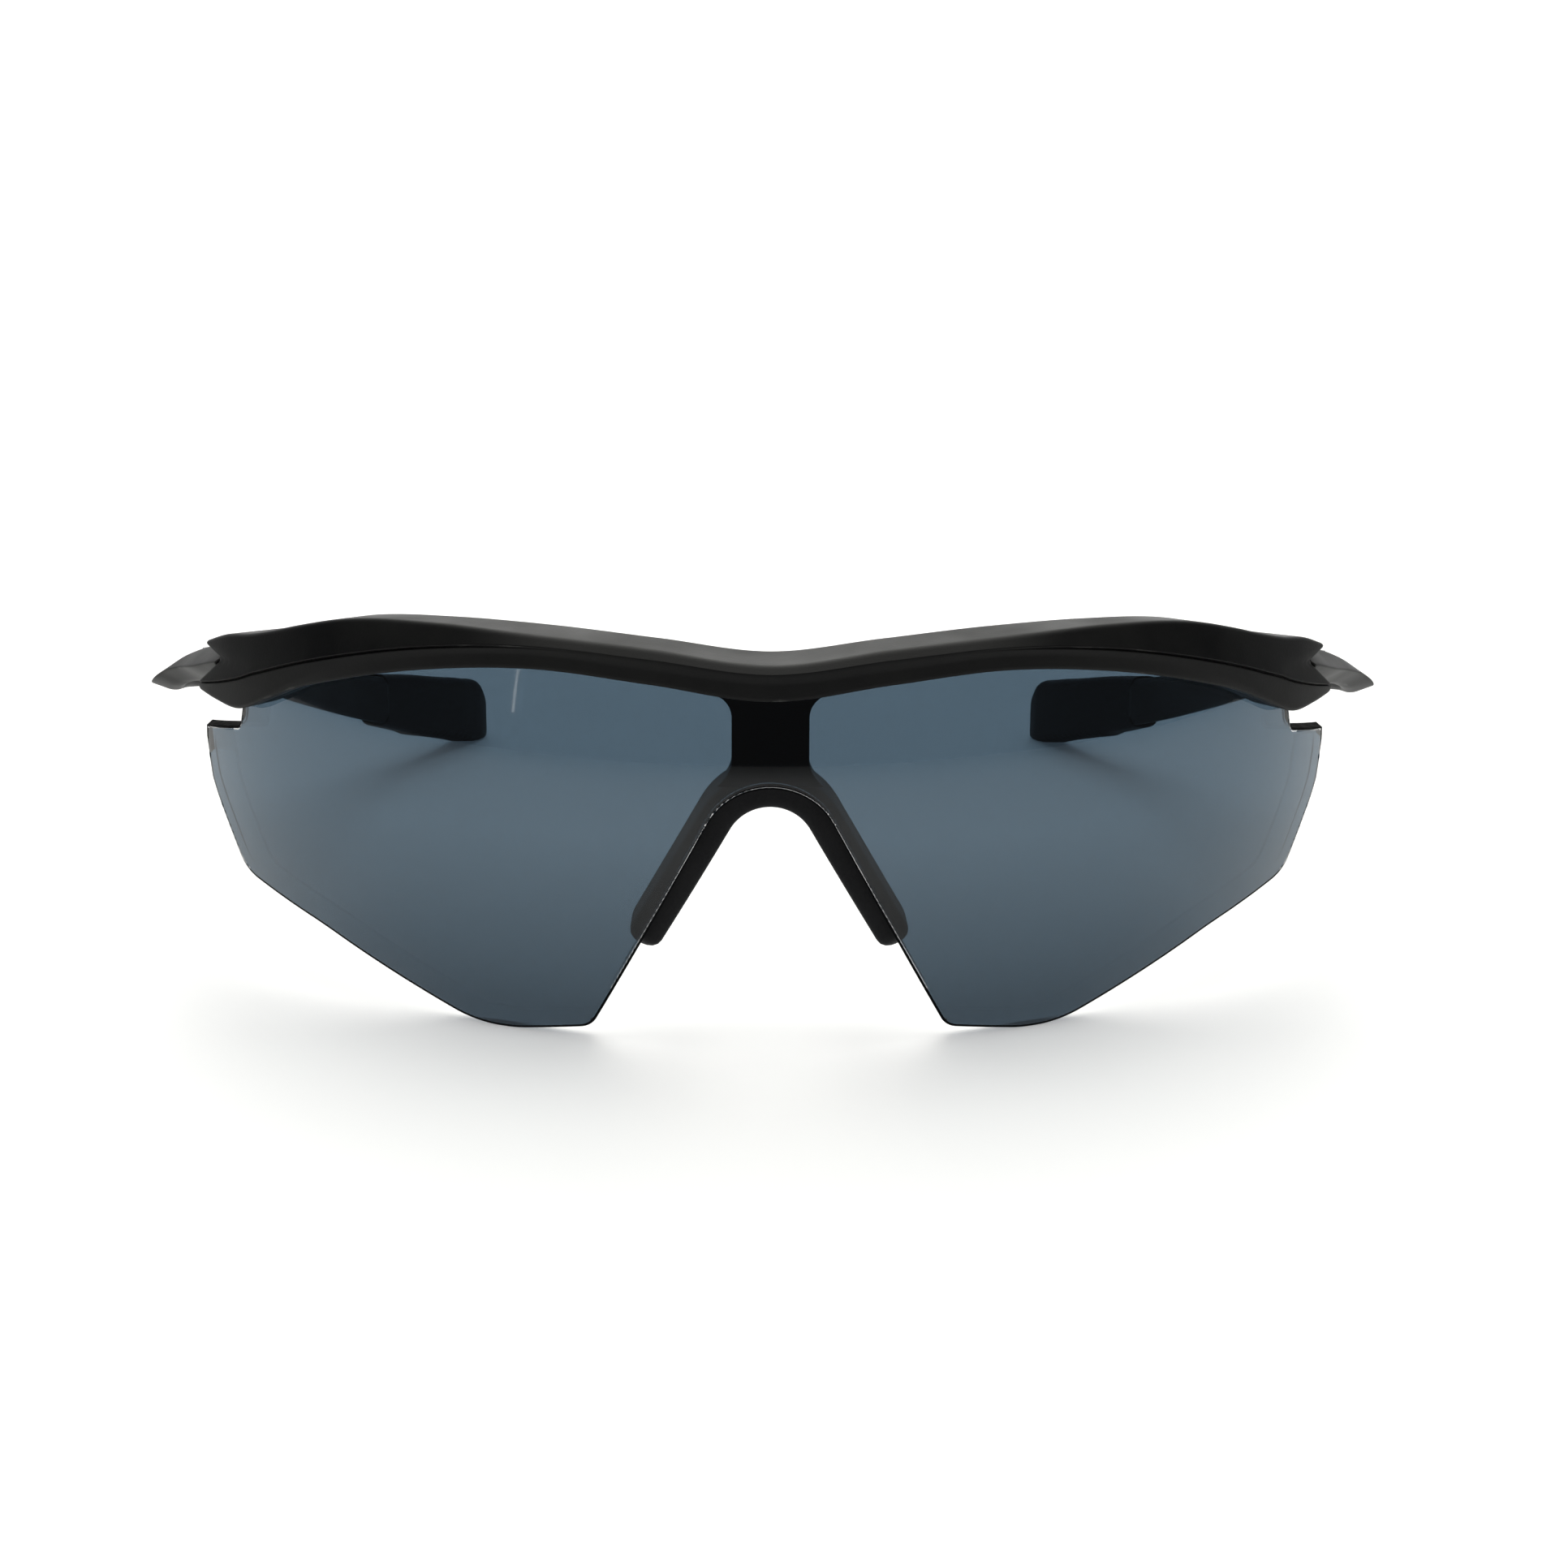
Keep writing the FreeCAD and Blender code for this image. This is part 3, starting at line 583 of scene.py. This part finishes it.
def buildPad():
    # A soft rectangle carried along the path, its front kept just behind the lens; the ends are closed by
    # rings that narrow as a half circle.
    points, along, across = padPath(pad["rings"])
    w = pad["halfWidth"]
    capAngle = np.radians(pad["capAngles"])
    push = np.concatenate([-w * np.sin(capAngle[::-1]), np.zeros(len(points)), w * np.sin(capAngle)])
    narrow = np.concatenate([np.cos(capAngle[::-1]), np.ones(len(points)), np.cos(capAngle)])
    caps = len(capAngle)
    index = np.concatenate([np.zeros(caps, int), np.arange(len(points)), np.full(caps, len(points) - 1)])
    half = w * narrow
    nearEnd = 0.5 + 0.5 * narrow
    middle = pad["depth"] / 2
    low, high = middle - middle * nearEnd, middle + middle * nearEnd
    corners = np.stack([np.stack([-half, low], -1), np.stack([half, low], -1),
                        np.stack([half, high], -1), np.stack([-half, high], -1)], axis=1)
    loops = roundLoop(corners, pad["softness"])
    offset, depth = loops[..., 0], loops[..., 1]
    centre = points[index] + along[index] * push[:, None]
    x = centre[:, None, 0] + across[index][:, None, 0] * offset
    z = centre[:, None, 1] + across[index][:, None, 1] * offset
    face = lensBackY(x, z, pad["gap"])
    y = face + depth / pad["depth"] * (pad["rearY"] - face)
    piece = tube("nosePad", np.stack([x, y, z], -1))
    return place(piece, "front", "nose_pad", "soft_rubber", rubber)


buildPad()
print("nose post and pad done")

# y, outer ridge x, inner face x, middle z, height
arm = {
    "stations": (
        (26.0, 60.8, 54.4, 37.6, 4.9),
        (30.0, 63.6, 57.4, 36.9, 4.9),
        (36.0, 67.5, 61.8, 35.3, 4.7),
        (41.0, 70.5, 65.5, 34.1, 4.0),
        (45.0, 73.1, 68.6, 32.8, 3.2),
        (48.0, 75.0, 70.7, 31.4, 2.7),
        (51.0, 76.1, 71.9, 30.2, 2.4),
        (55.0, 75.8, 71.8, 29.7, 2.4),
        (60.0, 74.3, 70.6, 29.2, 3.0),
        (66.0, 73.0, 69.5, 28.5, 3.8),
        (75.0, 72.3, 68.8, 27.1, 4.8),
        (90.0, 70.9, 67.4, 23.2, 6.0),
        (105.0, 68.3, 64.8, 18.8, 6.8),
        (118.0, 64.8, 61.2, 14.7, 7.2),
        (130.0, 60.7, 57.0, 11.3, 7.8),
    ),
    # share of the thickness outwards, share of the height from the middle
    "profile": ((0.0, -0.32), (0.20, -0.50), (0.42, -0.48), (1.0, -0.10), (0.44, 0.44), (0.20, 0.50),
                (0.0, 0.34)),
    "softness": (0.4, 0.45, 0.4, 0.3, 0.45, 0.4, 0.4),
    "endY": 126.2,
    "gap": 0.25,           # degrees of open seam behind the lug
    "rings": 200,
    "samples": 1200,
    "crowd": 1.15,         # draws the rings together towards the lug
    "firstStep": 0.1,
    "endScales": (0.15, 0.4, 0.7, 0.9, 0.965),
}


def armLines(y, scale):
    # Every profile point as a line over y: x from the inner face outwards, z about the arm's middle.
    outer, inner, middle, height = hermite(arm["stations"], y).T
    u, v = np.array(arm["profile"]).T
    corners = np.stack([inner[:, None] + u * (outer - inner)[:, None],
                        middle[:, None] + v * height[:, None]], -1)
    loops = roundLoop(corners, arm["softness"])
    centre = corners.mean(1, keepdims=True)
    loops = centre + (loops - centre) * scale
    return np.stack([loops[..., 0], np.broadcast_to(y[:, None], loops.shape[:2]), loops[..., 1]], -1)


def lineStarts(lines, y):
    # Where each line comes out of the lug's notched end plus the seam gap.
    x, back, z = lines[..., 0], sphere["radius"] - lines[..., 1], lines[..., 2]
    past = np.degrees(np.arctan2(x, back)) - lugEndAzimuth(np.hypot(x, back), z, arm["gap"])
    i = np.argmax(past > 0, axis=0)
    i = np.clip(i, 1, None)
    j = np.arange(past.shape[1])
    share = past[i - 1, j] / (past[i - 1, j] - past[i, j])
    return y[i - 1] + share * (y[i] - y[i - 1])


def alongLines(lines, y, at):
    # Straight-line reading of every profile line at its own row of places.
    step = y[1] - y[0]
    f = np.clip((at - y[0]) / step, 0, len(y) - 1.001)
    i = f.astype(int)
    t = (f - i)[..., None]
    j = np.arange(lines.shape[1])
    return lines[i, j] * (1 - t) + lines[i + 1, j] * t


def buildArm(side, sign):
    # Each line runs from its own start at the lug to the sock; smaller rings close the tongue's end.
    y = np.linspace(arm["stations"][0][0], arm["endY"], arm["samples"])
    lines = armLines(y, 1.0)
    start = lineStarts(lines, y)
    first = start + arm["firstStep"]
    t = np.linspace(0, 1, arm["rings"])[:, None] ** arm["crowd"]
    body = alongLines(lines, y, first + (arm["endY"] - first) * t)
    caps = []
    for scale in arm["endScales"]:
        inner = armLines(y, scale)
        caps.append(alongLines(inner, y, lineStarts(inner, y)[None, :])[0])
    rings = np.concatenate([np.stack(caps), body]) * (sign, 1, 1)
    piece = tube("templeArm_" + side, rings)
    return place(piece, "temple_" + side, "temple_arm_" + side, "frame_plastic", plastic)


# y, middle x, lower z, upper z, thickness
sock = {
    "stations": (
        (126.0, 60.7, 8.3, 16.6, 4.5),
        (134.0, 57.3, 5.6, 15.0, 5.0),
        (142.0, 53.9, 3.3, 13.1, 5.3),
        (149.0, 51.1, 1.2, 11.5, 5.5),
        (153.5, 49.5, -0.4, 10.1, 5.3),
        (156.5, 48.6, -1.0, 7.4, 4.2),
    ),
    "softness": 1.9,
    "rings": 240,
    "ribFrom": 133.0,
    "ribTo": 151.0,
    "ribPitch": 1.5,
    "ribHeight": 0.35,
    "ribFade": 2.0,
    "mouthScales": (0.72, 0.9, 0.97),
    "tipScales": (0.97, 0.85, 0.6),
    "tipSteps": (0.35, 0.15, 0.05),
}


def buildSock(side, sign):
    # Rounded uprights carried back over y; ribs shaped as the size of a sine stand down from the underside
    # and the tip is cut flat where it rests.
    last = sock["stations"][-1][0]
    body, middleStep, endStep = sock["tipSteps"]
    y = np.linspace(sock["stations"][0][0], last - body, sock["rings"])
    y = np.concatenate([[y[0]] * 3, y, [last - middleStep, last - endStep, last]])
    scale = np.concatenate([sock["mouthScales"], np.ones(sock["rings"]), sock["tipScales"]])
    middle, low, high, thick = hermite(sock["stations"], y).T
    rib = np.abs(np.sin((y - sock["ribFrom"]) / sock["ribPitch"] * math.pi)) ** 0.6
    rib = rib * smoothStep(y, sock["ribFrom"], sock["ribFrom"] + sock["ribFade"])
    rib = rib * (1 - smoothStep(y, sock["ribTo"] - sock["ribFade"] / 2, sock["ribTo"]))
    half, tall = thick / 2, (high - low) / 2
    corners = np.stack([np.stack([half, -tall], -1), np.stack([half, tall], -1),
                        np.stack([-half, tall], -1), np.stack([-half, -tall], -1)], axis=1)
    loops = roundLoop(corners, sock["softness"]) * scale[:, None, None]
    x = middle[:, None] + loops[..., 0]
    under = smoothStep(-loops[..., 1] / tall[:, None], 0.80, 0.98)
    z = ((high + low) / 2)[:, None] + loops[..., 1] - under * (rib * sock["ribHeight"])[:, None]
    z = np.maximum(z, 0.0)
    rings = np.stack([x, np.broadcast_to(y[:, None], x.shape), z], -1) * (sign, 1, 1)
    return place(tube("earSock_" + side, rings), "temple_" + side, "ear_sock_" + side, "soft_rubber", rubber)


for side, sign in sides:
    buildArm(side, sign)
    buildSock(side, sign)
print("temples done")

# The hinge metal and washers stay as packed and only get their finish.
metalNodes = {"front_hinge": metal, "temple_hinge": metal, "hinge_screw": metal, "anchor_screw": metal,
              "temple_screw": metal, "hinge_washers": washerNylon}
for node, material in metalNodes.items():
    for side, sign in sides:
        holder = frame["nodes"][node + "_" + side]
        holder.data.materials.clear()
        holder.data.materials.append(material)
print("hinges dressed")

stage = {
    "floorWhite": 0.82,
    "floorShadedFront": 0.7,
    # painted light: the whole sweep glows though it is no lamp
    "paintedGlow": 0.34,
    "paintedShadeFrom": -0.14,     # painted shade: the floor is painted dimmer from here forwards
    "paintedShadeTo": -0.9,
    "paintedBackGlow": 0.3,
    "paintedLightFrom": 0.35,       # painted light: the sweep glows brighter from here backwards
    "paintedLightTo": 0.9,
    "half": 2.2,
    "frontY": -2.5,
    "backY": 1.4,
    "bend": 0.5,
    "wallZ": 2.0,
    "sink": 0.00002,       # keeps the floor just clear of the lens's flat
    "rough": 0.6,
    "gloss": 0.2,
    "world": (0.10, 0.103, 0.108),
}
# place, target, size in metres and power in watts
lamps = {
    "overhead": ((0.0, 0.1, 1.1), (0, 0, 0), (1.1, 1.1), 10.5),
    "behind": ((0.0, 0.95, 0.9), (0, 0, 0), (0.7, 0.7), 4.8),
    "slimCard": ((-0.656, -0.697, 0.19), (-0.0266, -0.0718, 0.0385), (0.008, 0.14), 0.016),
}
lampColour = (1.0, 1.0, 0.95)


def buildStage():
    # A pale sweep: floor, quarter-circle bend and wall behind. It glows with painted light, painted dimmer
    # in front as painted shade and brighter towards the wall.
    bendAngle = np.linspace(0, math.pi / 2, 24)
    bendY = stage["backY"] - stage["bend"] + stage["bend"] * np.sin(bendAngle)
    y = np.concatenate([[stage["frontY"]], bendY, [stage["backY"]]])
    z = np.concatenate([[0.0], stage["bend"] * (1 - np.cos(bendAngle)), [stage["wallZ"]]]) - stage["sink"]
    left = np.stack([np.full_like(y, -stage["half"]), y, z], -1)
    right = left * (-1, 1, 1)
    n = len(y)
    faces = [(i, n + i, n + i + 1, i + 1) for i in range(n - 1)]
    mesh = bpy.data.meshes.new("sweep")
    mesh.from_pydata(np.vstack([left, right]).tolist(), [], faces)
    mesh.polygons.foreach_set("use_smooth", np.ones(n - 1, bool))
    sweep = bpy.data.objects.new("sweep", mesh)
    bpy.context.scene.collection.objects.link(sweep)
    material, tree, shader, coords = nodeMaterial("paleSweepPaintedLight")
    parts = tree.nodes.new("ShaderNodeSeparateXYZ")
    tree.links.new(coords, parts.inputs[0])
    # Painted shade: the floor's colour and glow are lowered towards the front.
    paintedShadeBlend = remap(tree, parts.outputs["Y"], 0, 1, stage["paintedShadeTo"], stage["paintedShadeFrom"])
    tree.links.new(colourMix(tree, paintedShadeBlend, (stage["floorShadedFront"],) * 3, (stage["floorWhite"],) * 3),
                   shader.inputs["Base Color"])
    shadedFrontGlow = 0.5 * stage["paintedGlow"]
    paintedGlow = remap(tree, parts.outputs["Y"], shadedFrontGlow, stage["paintedGlow"], stage["paintedShadeTo"], stage["paintedShadeFrom"])
    # Painted light: the glow grows towards the wall behind.
    paintedBackLight = remap(tree, parts.outputs["Y"], 0, stage["paintedBackGlow"], stage["paintedLightFrom"], stage["paintedLightTo"])
    both = tree.nodes.new("ShaderNodeMath")
    tree.links.new(paintedGlow, both.inputs[0])
    tree.links.new(paintedBackLight, both.inputs[1])
    tree.links.new(both.outputs[0], shader.inputs["Emission Strength"])
    shader.inputs["Emission Color"].default_value = (1, 1, 1, 1)
    shader.inputs["Roughness"].default_value = stage["rough"]
    shader.inputs["Specular IOR Level"].default_value = stage["gloss"]
    mesh.materials.append(material)


def softLight(name, place, target, size, power):
    # A flat lamp at place, yawed and pitched so that its face looks at the target.
    data = bpy.data.lights.new(name, "AREA")
    data.shape = "RECTANGLE"
    data.size, data.size_y = size
    data.energy = power
    data.color = lampColour
    lamp = bpy.data.objects.new(name, data)
    bpy.context.scene.collection.objects.link(lamp)
    direction = np.array(target, float) - np.array(place, float)
    yaw = math.atan2(direction[1], direction[0]) - math.pi / 2
    pitch = math.atan2(math.hypot(direction[0], direction[1]), -direction[2])
    lamp.location = place
    lamp.rotation_euler = (pitch, 0, yaw)
    return lamp


def buildWorld():
    world = bpy.data.worlds.new("studio")
    world.use_nodes = True
    world.node_tree.nodes["Background"].inputs["Color"].default_value = (*stage["world"], 1)
    bpy.context.scene.world = world


buildStage()
buildWorld()
for name, settings in lamps.items():
    softLight(name, *settings)

# Place in millimetres, angles in degrees
view = {"place": (-3.08, -232.0, 85.6), "down": 13.6, "turn": 1.1, "roll": 0.35, "lens": 53.2}


def buildCamera():
    # Turned to its right, tipped down and rolled, in that order about its own axes.
    data = bpy.data.cameras.new("camera")
    data.lens = view["lens"]
    data.sensor_width = 36.0
    data.clip_start = 0.01
    camera = bpy.data.objects.new("camera", data)
    bpy.context.scene.collection.objects.link(camera)
    x, y, z = view["place"]
    turn = Matrix.Rotation(math.radians(-view["turn"]), 4, "Z")
    pitch = Matrix.Rotation(math.radians(90 - view["down"]), 4, "X")
    roll = Matrix.Rotation(math.radians(view["roll"]), 4, "Z")
    spot = Matrix.Translation((x * 0.001, (y + shiftY) * 0.001, z * 0.001))
    camera.matrix_world = spot @ turn @ pitch @ roll
    bpy.context.scene.camera = camera


buildCamera()
bpy.context.scene.view_settings.view_transform = "Standard"
print("stage, lights and camera ready")
